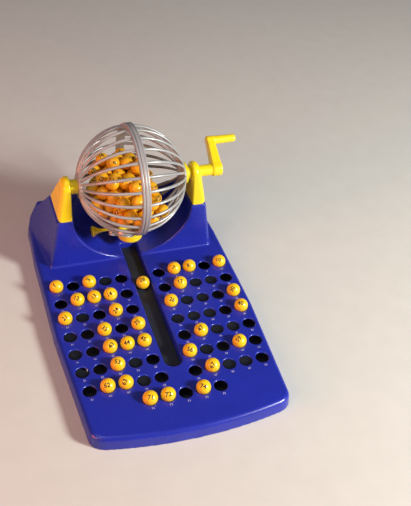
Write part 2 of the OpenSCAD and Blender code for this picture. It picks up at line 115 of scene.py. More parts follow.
def surface_mesh(field, low, high, cell):
    """Vertices (mm) and quads of the field's zero surface inside the box low..high."""
    low = np.asarray(low, float)
    size = np.asarray(high, float) - low
    n_blocks = np.maximum(1, np.ceil(size / (cell * BLOCK)).astype(int))
    dims = n_blocks * BLOCK + 1
    index = np.indices(n_blocks).reshape(3, -1).T
    # Only blocks near enough to the surface to hold any of it
    centre = low + (index + 0.5) * BLOCK * cell
    reach = 0.5 * BLOCK * cell * math.sqrt(3) * 1.25 + 2 * cell
    keep = np.abs(field(centre[:, 0], centre[:, 1], centre[:, 2])) < reach
    index = index[keep]
    corner = np.arange(BLOCK + 1)
    places, keys, quads = [], [], []
    axes = np.eye(3, dtype=int)

    def key(ijk):
        return (ijk[..., 0] * dims[1] + ijk[..., 1]) * dims[2] + ijk[..., 2]

    for start in range(0, len(index), BATCH):
        base = index[start : start + BATCH] * BLOCK
        gx, gy, gz = (base[:, a, None] + corner[None, :] for a in range(3))
        x = (low[0] + gx * cell)[:, :, None, None]
        y = (low[1] + gy * cell)[:, None, :, None]
        z = (low[2] + gz * cell)[:, None, None, :]
        f = np.broadcast_to(field(x, y, z), (len(base), BLOCK + 1, BLOCK + 1, BLOCK + 1))
        solid = f < 0
        count = np.zeros((len(base), BLOCK, BLOCK, BLOCK), np.int8)
        for dx in (0, 1):
            for dy in (0, 1):
                for dz in (0, 1):
                    count += solid[:, dx : BLOCK + dx, dy : BLOCK + dy, dz : BLOCK + dz]
        # One vertex in each cell that the surface crosses, at the mean of its crossed edges
        b, i, j, k = np.nonzero((count > 0) & (count < 8))
        if len(b) == 0:
            continue
        local = np.stack([i, j, k], -1)
        total = np.zeros((len(b), 3))
        number = np.zeros(len(b))
        for a in range(3):
            o1, o2 = axes[(a + 1) % 3], axes[(a + 2) % 3]
            for s1 in (0, 1):
                for s2 in (0, 1):
                    p = local + s1 * o1 + s2 * o2
                    q = p + axes[a]
                    fp = f[b, p[:, 0], p[:, 1], p[:, 2]]
                    fq = f[b, q[:, 0], q[:, 1], q[:, 2]]
                    hit = (fp < 0) != (fq < 0)
                    t = np.where(hit, fp / np.where(hit, fp - fq, 1), 0)
                    spot = s1 * o1 + s2 * o2 + t[:, None] * axes[a]
                    total += spot * hit[:, None]
                    number += hit
        cells = base[b] + local
        places.append(low + (cells + total / number[:, None]) * cell)
        keys.append(key(cells))
        # One quad round each grid edge that the surface crosses
        for a in range(3):
            lo = [slice(0, BLOCK)] * 3
            up = list(lo)
            up[a] = slice(1, BLOCK + 1)
            s0, s1 = solid[(slice(None), *lo)], solid[(slice(None), *up)]
            b, i, j, k = np.nonzero(s0 != s1)
            if len(b) == 0:
                continue
            g = base[b] + np.stack([i, j, k], -1)
            o1, o2 = axes[(a + 1) % 3], axes[(a + 2) % 3]
            ring = np.stack([key(g - o1 - o2), key(g - o2), key(g), key(g - o1)], -1)
            flip = ~s0[b, i, j, k]
            ring[flip] = ring[flip][:, ::-1]
            edge_ok = ((g - o1 - o2) >= 0).all(-1)
            quads.append(ring[edge_ok])
    places = np.concatenate(places)
    keys = np.concatenate(keys)
    quads = np.concatenate(quads)
    order = np.argsort(keys)
    keys, places = keys[order], places[order]
    where = np.searchsorted(keys, quads)
    where = np.clip(where, 0, len(keys) - 1)
    quads = where[(keys[where] == quads).all(-1)]
    start = places.copy()
    for _ in range(PULLS):
        f, g = gradient(field, places)
        places -= f[:, None] * g / np.maximum((g * g).sum(-1), 0.2)[:, None]
        places = start + np.clip(places - start, -0.75 * cell, 0.75 * cell)
    return places, quads


def gradient(field, p):
    """Value and slope of a field at points."""
    x, y, z = p.T
    rise = [
        field(x + SLOPE_STEP, y, z) - field(x - SLOPE_STEP, y, z),
        field(x, y + SLOPE_STEP, z) - field(x, y - SLOPE_STEP, z),
        field(x, y, z + SLOPE_STEP) - field(x, y, z - SLOPE_STEP),
    ]
    return field(x, y, z), np.stack(rise, -1) / (2 * SLOPE_STEP)


# ---------------------------------------------------------------- mesh building


def mesh_object(name, places, faces, kinds=None):
    """An object from vertices in mm and faces of equal length (an array) or a list of faces."""
    mesh = bpy.data.meshes.new(name)
    places = np.asarray(places, np.float32) * MM
    if isinstance(faces, np.ndarray):
        n, k = faces.shape
        mesh.vertices.add(len(places))
        mesh.vertices.foreach_set("co", places.ravel())
        mesh.loops.add(n * k)
        mesh.loops.foreach_set("vertex_index", faces.astype(np.int32).ravel())
        mesh.polygons.add(n)
        mesh.polygons.foreach_set("loop_start", np.arange(0, n * k, k, dtype=np.int32))
        mesh.update(calc_edges=True)
    else:
        mesh.from_pydata(places.tolist(), [], faces)
    if kinds is not None:
        mesh.polygons.foreach_set("material_index", kinds)
    mesh.validate()
    mesh.polygons.foreach_set("use_smooth", np.full(len(mesh.polygons), True))
    obj = bpy.data.objects.new(name, mesh)
    bpy.context.scene.collection.objects.link(obj)
    return obj


TILE = 14.0  # mm; faces merge only within a tile, which keeps the merged faces small
TILE_KEY = (1, 1000, 1000000)
FLAT_ANGLE = math.radians(0.4)


def flatten(obj):
    """Merges faces that lie in one plane, and weights the normals so that flats shade flat."""
    bm = bmesh.new()
    bm.from_mesh(obj.data)
    count = len(obj.data.polygons)
    middle = np.zeros(count * 3)
    obj.data.polygons.foreach_get("center", middle)
    tile = np.floor(middle.reshape(-1, 3) / (TILE * MM)).astype(int) @ TILE_KEY
    edges = []
    for e in bm.edges:
        sides = [f.index for f in e.link_faces]
        if len(sides) == 2 and tile[sides[0]] == tile[sides[1]]:
            edges.append(e)
    bmesh.ops.dissolve_limit(
        bm, angle_limit=FLAT_ANGLE, verts=bm.verts, edges=edges, use_dissolve_boundaries=False
    )
    bm.to_mesh(obj.data)
    bm.free()
    obj.data.polygons.foreach_set("use_smooth", np.full(len(obj.data.polygons), True))
    m = obj.modifiers.new("weighted_normals", "WEIGHTED_NORMAL")
    m.mode = "FACE_AREA"
    m.weight = 50
    return obj


def moulded(name, field, low, high, cell):
    """A moulded piece from its distance field."""
    places, quads = surface_mesh(field, low, high, cell * (1.0))
    return flatten(mesh_object(name, places, quads))


# ---------------------------------------------------------------- shapes

# The board, its sockets and the channel of the rolling ball
BOARD_Z, PLATE_T, DRAFT = 14.5, 2.2, 0.11
SOCKET_R = 6.75
PITCH, ROW_PITCH, ROW_1_Y = 18.3, 25.05, 40.0
ROWS, COLUMNS, LAST_ROW_COUNT = 7, 10, 5
CHANNEL_HALF, CHANNEL_Y0, CHANNEL_Y1, CHANNEL_TOP = 9.4, -90.0, 97.0, 26.5
FRONT_Y, FRONT_R = -181, 454.5
# The raised block, its towers and the bowl round the cage
BLOCK_Y, BLOCK_TOP, BLOCK_TOP_HALF = 74.0, 77.6, 85.5
TOWER_X, TOWER_BACK_Y = 68.8, 128.0
SHELF_Z, SHELF_Y, RAMP_FOOT_Y = 47.0, 158.0, 152.0
BOWL_R, BOWL_C = 70.6, (84.0, 85.6)
CAGE_Y, CAGE_Z = 90.0, 113.0
CUP_SCREW_X, CUP_SCREW_Y = 11.0, 109.8


def base_outline():
    """The base's plan outline at its foot."""

    def front(x):
        return FRONT_Y + FRONT_R - math.sqrt(FRONT_R**2 - x * x)

    right = [(x, front(x)) for x in range(0, 91, 5)]
    right += arc_points(87, -155.5, 16.4, -75, -5, 24)
    right += [(111, -30), (111, 100)]
    right += arc_points(78.5, 148, 30, 0, 85, 30)
    right += [(40, 180), (0, 180)]
    left = [(-x, y) for x, y in reversed(right[1:-1])]
    return right + left


OUTLINE = base_outline()


def socket_gap(row):
    """Distance between the two middle columns of a row, in pitches. The rows close up towards the front."""
    return 2.4 - 0.22 * np.maximum(0, row - 5)


def socket_places():
    """Centre of each socket, in number order."""
    half = COLUMNS // 2
    out = []
    for row in range(1, ROWS + 1):
        for col in range(1, COLUMNS + 1):
            side, k = (1, col - half - 1) if col > half else (-1, half - col)
            out.append((side * (socket_gap(row) / 2 + k) * PITCH, ROW_1_Y - (row - 1) * ROW_PITCH))
    for col in range(1, LAST_ROW_COUNT + 1):
        out.append(((col - 3) * PITCH, ROW_1_Y - ROWS * ROW_PITCH))
    return out


SOCKETS = socket_places()


def socket_distance(x, y):
    """Distance in plan to the nearest socket's centre."""
    row = np.clip(np.round((ROW_1_Y - y) / ROW_PITCH), 0, ROWS)
    half_gap = socket_gap(row + 1) / 2 * PITCH
    k = np.clip(np.round((np.abs(x) - half_gap) / PITCH), 0, 4)
    in_rows = np.sign(x + 1e-9) * (half_gap + k * PITCH)
    in_last = np.clip(np.round(x / PITCH), -2, 2) * PITCH
    return np.hypot(x - np.where(row < ROWS, in_rows, in_last), y - (ROW_1_Y - row * ROW_PITCH))


def block_distance(x, y, z):
    """The raised block behind the board, with leaning sides and a foot that spreads to the back."""
    foot = 95.3 + (y - BLOCK_Y) * 10.7 / 78.0
    half = foot + (BLOCK_TOP_HALF - foot) * (z - BOARD_Z) / (BLOCK_TOP - BOARD_Z)
    side = (np.abs(x) - half) * 0.98
    slope = (BLOCK_TOP - SHELF_Z) / (RAMP_FOOT_Y - TOWER_BACK_Y)
    ramp = (z - (BLOCK_TOP - slope * (y - TOWER_BACK_Y))) / math.hypot(1, slope)
    rear = (y - SHELF_Y - (SHELF_Z - z) * 0.19) / 1.02
    back = np.maximum(np.minimum(np.maximum(ramp, y - SHELF_Y), z - SHELF_Z), rear)
    d = meet(BLOCK_Y - y, z - BLOCK_TOP, 2.6)
    d = meet(d, side, 3.2)
    return meet(d, back, 3.0)


def shell_distance(x, y, z):
    """The base's moulding: board, raised block, bowl round the cage, channel and sockets."""
    plan = polygon_distance(OUTLINE, x, y)
    side = plan + DRAFT * z
    slab = meet(meet(side, z - BOARD_Z, 4.5), -z, 0.6)
    body = join(slab, meet(block_distance(x, y, z), plan, 3.0), 3.0)
    bowl = np.sqrt(x * x + (y - BOWL_C[0]) ** 2 + (z - BOWL_C[1]) ** 2) - BOWL_R
    body = cut(body, meet(bowl, np.abs(x) - TOWER_X, 5.0), 2.8)
    boss = np.hypot(np.abs(x) - CUP_SCREW_X, y - CUP_SCREW_Y) - 4.0
    body = join(body, np.maximum(boss, np.abs(z - 18.75) - 5.25), 0.8)
    # Hollow under the board's plate, with walls along the channel
    slot = np.where(y < CHANNEL_Y0, np.hypot(x, y - CHANNEL_Y0) - CHANNEL_HALF, np.abs(x) - CHANNEL_HALF)
    slot = np.maximum(slot, y - CHANNEL_Y1)
    hollow = np.maximum(side + PLATE_T, z - (BOARD_Z - PLATE_T))
    hollow = np.maximum(hollow, y - (BLOCK_Y - 3.0))
    hollow = np.maximum(hollow, -z - 2)
    hollow = np.maximum(hollow, 2.0 - slot)
    body = np.maximum(body, -hollow)
    # Room for the tray's edge
    body = np.maximum(body, -np.maximum(side + PLATE_T, z - 2.6))
    body = cut(body, np.maximum(slot, z - CHANNEL_TOP), 2.0)
    hole = np.maximum(socket_distance(x, y) - SOCKET_R, z - BOARD_Z - 6)
    return cut(body, hole, 1.5)


def cylinder_x(x, y, z, cy, cz, r, x0, x1, edge):
    """A cylinder along X with rounded edges."""
    return box2(np.hypot(y - cy, z - cz), x - (x0 + x1) / 2, r, (x1 - x0) / 2, edge)


def cylinder_y(x, y, z, cx, cz, r, y0, y1, edge):
    """A cylinder along Y with rounded edges."""
    return box2(np.hypot(x - cx, z - cz), y - (y0 + y1) / 2, r, (y1 - y0) / 2, edge)


def cylinder_z(x, y, z, cx, cy, r, z0, z1, edge):
    """A cylinder along Z with rounded edges."""
    return box2(np.hypot(x - cx, y - cy), z - (z0 + z1) / 2, r, (z1 - z0) / 2, edge)


def block_xyz(x, y, z, low, high, edge):
    """A box between two corners with rounded edges."""
    c = [(a + b) / 2 for a, b in zip(low, high)]
    h = [(b - a) / 2 - edge for a, b in zip(low, high)]
    a, b, d = np.abs(x - c[0]) - h[0], np.abs(y - c[1]) - h[1], np.abs(z - c[2]) - h[2]
    out = np.sqrt(np.maximum(a, 0) ** 2 + np.maximum(b, 0) ** 2 + np.maximum(d, 0) ** 2)
    return out + np.minimum(np.maximum(np.maximum(a, b), d), 0) - edge


# ---- caps over the shafts

CAP_HEAD_R, CAP_LEAN, CAP_HIGH = 12.4, 8.5, 48.4
SHAFT_R = 6.5
TRUNNION_R = 4.5
NO_BORE = -50.0  # a bore's radius that takes nothing away
CAP_OUTLINE = [(BLOCK_Y, BLOCK_TOP), (TOWER_BACK_Y, BLOCK_TOP)]
CAP_OUTLINE += arc_points(CAGE_Y, CAGE_Z, CAP_HEAD_R, 38, 173, 40)


def cap_distance(x, y, z, bore_r):
    """The right-hand cap, whose outer face leans inwards."""
    profile = polygon_distance(CAP_OUTLINE, y, z)
    lean = ((x - BLOCK_TOP_HALF) + (z - BLOCK_TOP) * CAP_LEAN / CAP_HIGH) * 0.985
    d = meet(profile, lean, 5.4)
    d = meet(d, TOWER_X - x, 2.0)
    d = meet(d, BLOCK_TOP - z, 0.4)
    return cut(d, np.hypot(y - CAGE_Y, z - CAGE_Z) - bore_r, 0.7)


def right_cap_distance(x, y, z):
    """The right cap, which the crank's shaft goes through."""
    return cap_distance(x, y, z, SHAFT_R + 0.15)


def left_cap_distance(x, y, z):
    """The left cap, with a blind bore for the left hub's trunnion."""
    bore = cylinder_x(x, y, z, CAGE_Y, CAGE_Z, TRUNNION_R + 0.1, -77.1, -60, 0.2)
    return cut(cap_distance(-x, y, z, NO_BORE), bore, 0.7)


# ---- crank

ELBOW_X0, ELBOW_X1 = 93.5, 105.5
ARM, ARM_ANGLE, GRIP_END = 34.8, math.radians(35), 130.5


def crank_distance(x, y, z):
    """The crank: shaft and tail on the cage's axis, an elbow, and an arm with a grip."""
    dy, dz = y - CAGE_Y, z - CAGE_Z
    u = dy * math.cos(ARM_ANGLE) + dz * math.sin(ARM_ANGLE)
    v = -dy * math.sin(ARM_ANGLE) + dz * math.cos(ARM_ANGLE)
    mid = (ELBOW_X0 + ELBOW_X1) / 2
    shaft = cylinder_x(x, y, z, CAGE_Y, CAGE_Z, SHAFT_R, 68.9, mid, 0.4)
    tail = cylinder_x(x, y, z, CAGE_Y, CAGE_Z, 3.9, 60.6, 72, 0.3)
    elbow = cylinder_x(x, y, z, CAGE_Y, CAGE_Z, 8.0, ELBOW_X0, ELBOW_X1, 2.2)
    t = np.clip(u / ARM, 0, 1)
    arm = np.maximum(box2(x - mid, v, 5.5 - 0.9 * t, 7.5 - 2.5 * t, 1.9), np.maximum(-u - 1, u - ARM))
    tip = box2(np.hypot(u - ARM, v), x - mid - 0.2, 5.3, 5.2, 2.0)
    grip_r = 4.85 - 0.35 * np.clip((x - ELBOW_X1) / 25, 0, 1)
    grip = meet(np.hypot(u - ARM, v) - grip_r, np.maximum(x - GRIP_END, ELBOW_X1 - 5 - x), 3.4)
    d = join(shaft, elbow, 0.9)
    d = join(d, tail, 0.3)
    d = join(d, arm, 1.5)
    d = np.minimum(d, tip)
    return join(d, grip, 1.0)


# ---- catch cup and lever

CUP_X, CUP_R, CUP_RIM_Z, CUP_BOTTOM_Z = 0.5, 14.6, 45.9, 31.0
CUP_THROAT, CUP_THROAT_Z, CUP_MOUTH, CUP_MOUTH_Z = 8.4, 34.9, 13.0, 39.5
LEVER_X, LEVER_Z, PLATE_Y, FOOT_Z, TONGUE_Z = -15.0, 44.5, 104.4, 24.0, 28.6
LEVER_Y0, LEVER_Y1 = 99.2, 102.8


def cup_distance(x, y, z):
    """The catch cup, with its mounting plate and foot and the ear that holds the lever's pin."""
    rho = np.hypot(x - CUP_X, y - CAGE_Y)
    high = CUP_RIM_Z - CUP_BOTTOM_Z
    outer = box2(rho, z - (CUP_RIM_Z + CUP_BOTTOM_Z) / 2 - 3, CUP_R, high / 2 + 3, 4.8)
    outer = meet(outer, z - CUP_RIM_Z, 0.7)
    # Inside: a straight throat, then a cone that opens out to the mouth
    cone = ((rho - CUP_MOUTH) - (z - CUP_MOUTH_Z) * 1.02) * 0.7
    inner = np.maximum(np.minimum(rho - CUP_THROAT, cone), rho - CUP_MOUTH)
    inner = np.where(z < CUP_THROAT_Z, rho - CUP_THROAT, inner)
    bead = np.hypot(rho - CUP_R + 0.2, z - CUP_RIM_Z + 1.1) - 1.0
    d = join(outer, bead, 0.4)
    plate = block_xyz(x, y, z, (-15.5, PLATE_Y, FOOT_Z), (15.5, PLATE_Y + 2.4, FOOT_Z + 17), 0.6)
    foot = block_xyz(x, y, z, (-15.5, PLATE_Y, FOOT_Z), (15.5, PLATE_Y + 9, FOOT_Z + 2), 0.6)
    link = block_xyz(x, y, z, (-10, 98, CUP_BOTTOM_Z + 2), (10, PLATE_Y + 1, CUP_BOTTOM_Z + 8), 0.8)
    ear_low, ear_high = (LEVER_X - 3, PLATE_Y - 0.4, FOOT_Z + 10), (LEVER_X + 3, PLATE_Y + 2, LEVER_Z + 3)
    ear = block_xyz(x, y, z, ear_low, ear_high, 0.6)
    d = join(d, join(join(plate, foot, 1.2), join(link, ear, 0.4), 0.8), 0.8)
    return cut(d, inner, 0.6)


def lever_distance(x, y, z):
    """The release lever: a flared stem, a bar to its pivot, and a leg with a tongue under the cup."""
    stem_z = LEVER_Z + 2
    t = np.clip((-29.0 - x) / 14.0, 0, 1)
    rho = np.hypot(y - CAGE_Y, z - stem_z)
    r = 1.9 + 4.6 * t**2.2
    stem = meet((rho - r) * 0.72, np.maximum(x + 18.0, -44.6 - x), 0.9)
    dish = np.sqrt((x + 55.2) ** 2 + rho**2) - 11.6
    stem = cut(stem, dish, 0.5)
    bar_low, bar_high = (LEVER_X - 3.6, CAGE_Y - 1.9, stem_z - 1.6), (LEVER_X - 0.8, LEVER_Y1, stem_z + 1.6)
    bar = block_xyz(x, y, z, bar_low, bar_high, 0.5)
    boss = cylinder_y(x, y, z, LEVER_X, LEVER_Z, 3.0, LEVER_Y0, LEVER_Y1, 0.4)
    leg_low = (LEVER_X - 1.2, LEVER_Y0, TONGUE_Z)
    leg = block_xyz(x, y, z, leg_low, (LEVER_X + 1.2, LEVER_Y1, LEVER_Z), 0.4)
    reach = block_xyz(x, y, z, leg_low, (1.5, LEVER_Y1, TONGUE_Z + 1.8), 0.4)
    tongue = block_xyz(x, y, z, (-5, CAGE_Y - 3.5, TONGUE_Z), (1.5, LEVER_Y0 + 1, TONGUE_Z + 1.8), 0.4)
    d = join(stem, bar, 0.8)
    d = join(d, boss, 0.6)
    d = join(d, leg, 0.5)
    d = join(d, np.minimum(reach, tongue), 0.5)
    return cut(d, np.hypot(x - LEVER_X, z - LEVER_Z) - 1.35, 0.2)


# ---- hubs

POLE_IN_X, POLE_X = 56.6, 60.3  # the two faces of the disc at each of the cage's poles


def left_hub_distance(x, y, z):
    """The left hub, with the trunnion that turns in the left cap."""
    hub = cylinder_x(x, y, z, CAGE_Y, CAGE_Z, 8.0, -68.3, -59.9, 0.8)
    stub = cylinder_x(x, y, z, CAGE_Y, CAGE_Z, TRUNNION_R, -76.6, -60, 0.6)
    return join(hub, stub, 0.3)


def right_hub_distance(x, y, z):
    """The right hub, a flange and a boss for the crank."""
    flange = cylinder_x(x, y, z, CAGE_Y, CAGE_Z, 12.0, 59.9, 63.3, 0.9)
    boss = cylinder_x(x, y, z, CAGE_Y, CAGE_Z, 7.5, 60, 68.3, 0.7)
    return join(flange, boss, 1.2)


# ---- exit port and gate, in the port's own frame

PORT_ANGLE = math.radians(180 - 32)
PORT_TILT = math.asin(13.6 / 59.4)
PORT_R, PORT_BORE, GATE_Z, GATE_ARM = 11.0, 8.4, 61.9, 14.5
port_turn = np.array(Matrix.Rotation(PORT_ANGLE, 3, "X") @ Matrix.Rotation(-PORT_TILT, 3, "Y"))


def to_port(x, y, z):
    """Row-frame millimetres to the port's frame: +Z runs out through the port."""
    m = port_turn
    y, z = y - CAGE_Y, z - CAGE_Z
    return (
        x * m[0, 0] + y * m[1, 0] + z * m[2, 0],
        x * m[0, 1] + y * m[1, 1] + z * m[2, 1],
        x * m[0, 2] + y * m[1, 2] + z * m[2, 2],
    )


def port_distance(x, y, z):
    """The collar of the exit port, with the ear that holds the gate's pin."""
    x, y, z = to_port(x, y, z)
    rho = np.hypot(x, y)
    collar = box2(rho, z - 59.2, PORT_R, 2.4, 1.0)
    ear = cylinder_z(x, y, z, -GATE_ARM, 0, 3.6, 58.6, 61.6, 0.6)
    arm = block_xyz(x, y, z, (-GATE_ARM, -3, 58.6), (-8.5, 3, 61.6), 0.6)
    return cut(join(collar, np.minimum(ear, arm), 0.8), rho - PORT_BORE, 0.7)


def gate_distance(x, y, z):
    """The exit gate: a disc with a raised rim, on an arm with an eye."""
    x, y, z = to_port(x, y, z)
    disc = cylinder_z(x, y, z, 0, 0, 9.4, GATE_Z, GATE_Z + 1.3, 0.45)
    eye = cylinder_z(x, y, z, -GATE_ARM, 0, 3.4, GATE_Z, GATE_Z + 1.3, 0.45)
    arm = block_xyz(x, y, z, (-GATE_ARM, -2.6, GATE_Z), (0, 2.6, GATE_Z + 1.3), 0.45)
    rim = box2(np.hypot(x, y) - 7.6, z - GATE_Z - 1.2, 0.5, 0.35, 0.3)
    return join(join(disc, np.minimum(eye, arm), 0.8), rim, 0.3)


# ---------------------------------------------------------------- swept and lathed pieces


class Parts:
    """Collects vertices, faces, material indices and point attributes of several shapes for one mesh."""

    def __init__(self):
        self.places, self.faces, self.kinds, self.local, self.tone = [], [], [], [], []
        self.count = 0

    def add(self, places, faces, kind=0, local=None, tone=0.0):
        places = np.asarray(places, float)
        self.places.append(places)
        self.faces.extend([[i + self.count for i in f] for f in np.asarray(faces, dtype=object)])
        self.kinds.extend([kind] * len(faces))
        self.local.append(np.zeros((len(places), 3)) if local is None else local)
        self.tone.append(np.full(len(places), tone))
        self.count += len(places)

    def build(self, name, attributes=False):
        obj = mesh_object(name, np.concatenate(self.places), self.faces, np.array(self.kinds, np.int32))
        if attributes:
            a = obj.data.attributes.new("ball_local", "FLOAT_VECTOR", "POINT")
            a.data.foreach_set("vector", np.concatenate(self.local).astype(np.float32).ravel())
            a = obj.data.attributes.new("ball_tone", "FLOAT", "POINT")
            a.data.foreach_set("value", np.concatenate(self.tone).astype(np.float32))
        return obj


def tube(path, across, out, wide, high, sides=14):
    """A closed tube along path. across and out are unit vectors at each point; wide and high its half axes."""
    n = len(path)
    a = np.linspace(0, 2 * math.pi, sides, endpoint=False)
    ring = path[:, None] + (
        np.cos(a)[None, :, None] * across[:, None] * wide[:, None, None]
        + np.sin(a)[None, :, None] * out[:, None] * high[:, None, None]
    )
    faces = []
    for i in range(n - 1):
        for k in range(sides):
            q = (k + 1) % sides
            faces.append([i * sides + k, i * sides + q, (i + 1) * sides + q, (i + 1) * sides + k])
    faces.append(list(range(sides))[::-1])
    faces.append([(n - 1) * sides + k for k in range(sides)])
    return ring.reshape(-1, 3), faces


def lathe(profile, turns=96, closed=False):
    """Turns (distance along X, radius) points about the X axis. A radius of 0 closes an end."""
    pts = np.array(profile, float)
    a = np.linspace(0, 2 * math.pi, turns, endpoint=False)
    ring = np.stack(
        [
            np.repeat(pts[:, 0:1], turns, 1),
            pts[:, 1:2] * np.cos(a)[None],
            pts[:, 1:2] * np.sin(a)[None],
        ],
        -1,
    )
    n = len(pts)
    faces = []
    last = n if closed else n - 1
    for i in range(last):
        j = (i + 1) % n
        for k in range(turns):
            q = (k + 1) % turns
            faces.append([i * turns + k, j * turns + k, j * turns + q, i * turns + q])
    if not closed:
        faces.append(list(range(turns)))
        faces.append([(n - 1) * turns + k for k in range(turns)][::-1])
    return ring.reshape(-1, 3), faces


def rounded(points, r=0.4, n=4):
    """A closed polyline with each corner rounded by r."""
    pts = np.array(points, float)
    out = []
    for i in range(len(pts)):
        p, a, b = pts[i], pts[i - 1], pts[(i + 1) % len(pts)]
        u, v = a - p, b - p
        lu, lv = np.linalg.norm(u), np.linalg.norm(v)
        c = min(r, 0.45 * lu, 0.45 * lv)
        s, e = p + u / lu * c, p + v / lv * c
        for t in np.linspace(0, 1, n + 1):
            out.append((1 - t) ** 2 * s + 2 * t * (1 - t) * p + t * t * e)
    return out


RIB_R, RIBS, RIB_PHASE, RIB_HALF = 59.4, 24, 8.0, 1.65
RIB_START_R, PORT_CLEAR = 12.6, 9.9
RING_R, RING_IN, RING_LEFT, RING_RIGHT = 62.6, 57.6, 2.8, 6.2
CAGE_CENTRE = np.array([0.0, CAGE_Y, CAGE_Z])


def add_rib(parts, side, turn, start, end):
    """One rib, from the pole's disc to the ring. On the left it stops at the exit port."""
    b = np.linspace(start, end, 44)
    along = np.array([side, 0.0, 0.0])
    radial = side * np.array([0.0, math.cos(turn), math.sin(turn)])
    out = np.cos(b)[:, None] * along + np.sin(b)[:, None] * radial
    path = RIB_R * out
    across = np.broadcast_to(np.cross(along, radial), path.shape)
    t = (b - start) / (end - start)
    wide = RIB_HALF * (0.74 + 0.26 * np.clip(t * 2.2, 0, 1) ** 0.8)
    high = RIB_HALF * (0.86 + 0.1 * np.clip(t * 2.2, 0, 1))
    free = np.ones(len(path), bool)
    if side < 0:
        px, py, pz = to_port(*(path + CAGE_CENTRE).T)
        free = (np.hypot(px, py) > PORT_CLEAR) | (pz < 0)
    cuts = np.flatnonzero(np.diff(free.astype(int))) + 1
    for run in np.split(np.arange(len(path)), cuts):
        if free[run[0]] and len(run) > 1:
            parts.add(*tube(path[run], across[run], out[run], wide[run], high[run], 16))


def cage_half(name, side):
    """One half of the cage: ribs, the half ring they meet and the disc at the pole."""
    parts = Parts()
    lip = RING_LEFT if side < 0 else RING_RIGHT
    start = math.asin(RIB_START_R / RIB_R)
    end = math.pi / 2 - math.asin((lip - 1.4) / RIB_R)
    for i in range(RIBS):
        add_rib(parts, side, math.radians(i * 360 / RIBS + RIB_PHASE), start, end)
    if side < 0:
        ring = [
            (0, RING_IN), (0, RING_R - 0.9), (-0.5, RING_R - 0.25), (-2.2, RING_R - 0.2),
            (-RING_LEFT, RING_R - 0.9), (-RING_LEFT, RING_IN),
        ]
    else:
        ring = [
            (0.05, RING_IN), (0.05, RING_R - 1.0), (0.7, RING_R - 0.15), (2.1, RING_R),
            (2.5, RING_R - 0.35), (4.2, RING_R - 0.35), (4.6, RING_R), (5.6, RING_R - 0.1),
            (RING_RIGHT, RING_R - 0.9), (RING_RIGHT, RING_IN),
        ]
    parts.add(*lathe(rounded(ring, 0.45), 144, closed=True))
    x0, x1 = POLE_IN_X, POLE_X
    disc = [
        (x0, 0.01), (x0, 13.2), (x0 + 0.5, 14.6), (x0 + 1.6, 15.0),
        (x0 + 2.4, 14.9), (x1 - 0.3, 13.6), (x1, 12.6), (x1, 0.01),
    ]
    places, faces = lathe(disc, 72)
    places[:, 0] *= side
    parts.add(places, faces)
    parts.places = [p + CAGE_CENTRE for p in parts.places]
    obj = parts.build(name)
    tidy_normals(obj)
    return obj


def tidy_normals(obj):
    """Turns each closed shell's faces outwards."""
    bm = bmesh.new()
    bm.from_mesh(obj.data)
    bmesh.ops.recalc_face_normals(bm, faces=bm.faces)
    bm.to_mesh(obj.data)
    bm.free()


def edge_marked(obj, angle=38):
    """Smooth shading that breaks at sharp edges."""
    bm = bmesh.new()
    bm.from_mesh(obj.data)
    for e in bm.edges:
        e.smooth = not (len(e.link_faces) == 2 and e.calc_face_angle(0) > math.radians(angle))
    bm.to_mesh(obj.data)
    bm.free()
    return obj


# ---------------------------------------------------------------- balls and their numbers

BALL_R = 7.5
BALL_NEAR, BALL_OWN = 5, 6  # mm from a first guess of a ball's centre, and from the centre found
PRINT_HIGH, PRINT_GRAIN, PRINT_LIFT, PRINT_SINK = 6.4, 1.3, 0.05, 0.12
LAST_NUMBER, ROLLING_NUMBER = 75, 28
rng = np.random.default_rng(LAST_NUMBER)


def cube_sphere(n):
    """A unit sphere of quads from a cube's six faces."""
    g = np.tan(np.linspace(-1, 1, n + 1) * math.pi / 4)
    u, v = np.meshgrid(g, g, indexing="ij")
    one = np.ones_like(u)
    sides = [(one, u, v), (-one, v, u), (v, one, u), (u, -one, v), (u, v, one), (v, u, -one)]
    places, faces = [], []
    for k, side in enumerate(sides):
        p = np.stack(side, -1).reshape(-1, 3)
        places.append(p / np.linalg.norm(p, axis=1)[:, None])
        i, j = np.meshgrid(np.arange(n), np.arange(n), indexing="ij")
        a = (i * (n + 1) + j).ravel() + k * (n + 1) ** 2
        faces.append(np.stack([a, a + n + 1, a + n + 2, a + 1], -1))
    places, faces = np.concatenate(places), np.concatenate(faces)
    keys = np.round(places * 1e5).astype(int)
    _, first, back = np.unique(keys, axis=0, return_index=True, return_inverse=True)
    return places[first], back.reshape(-1)[faces]


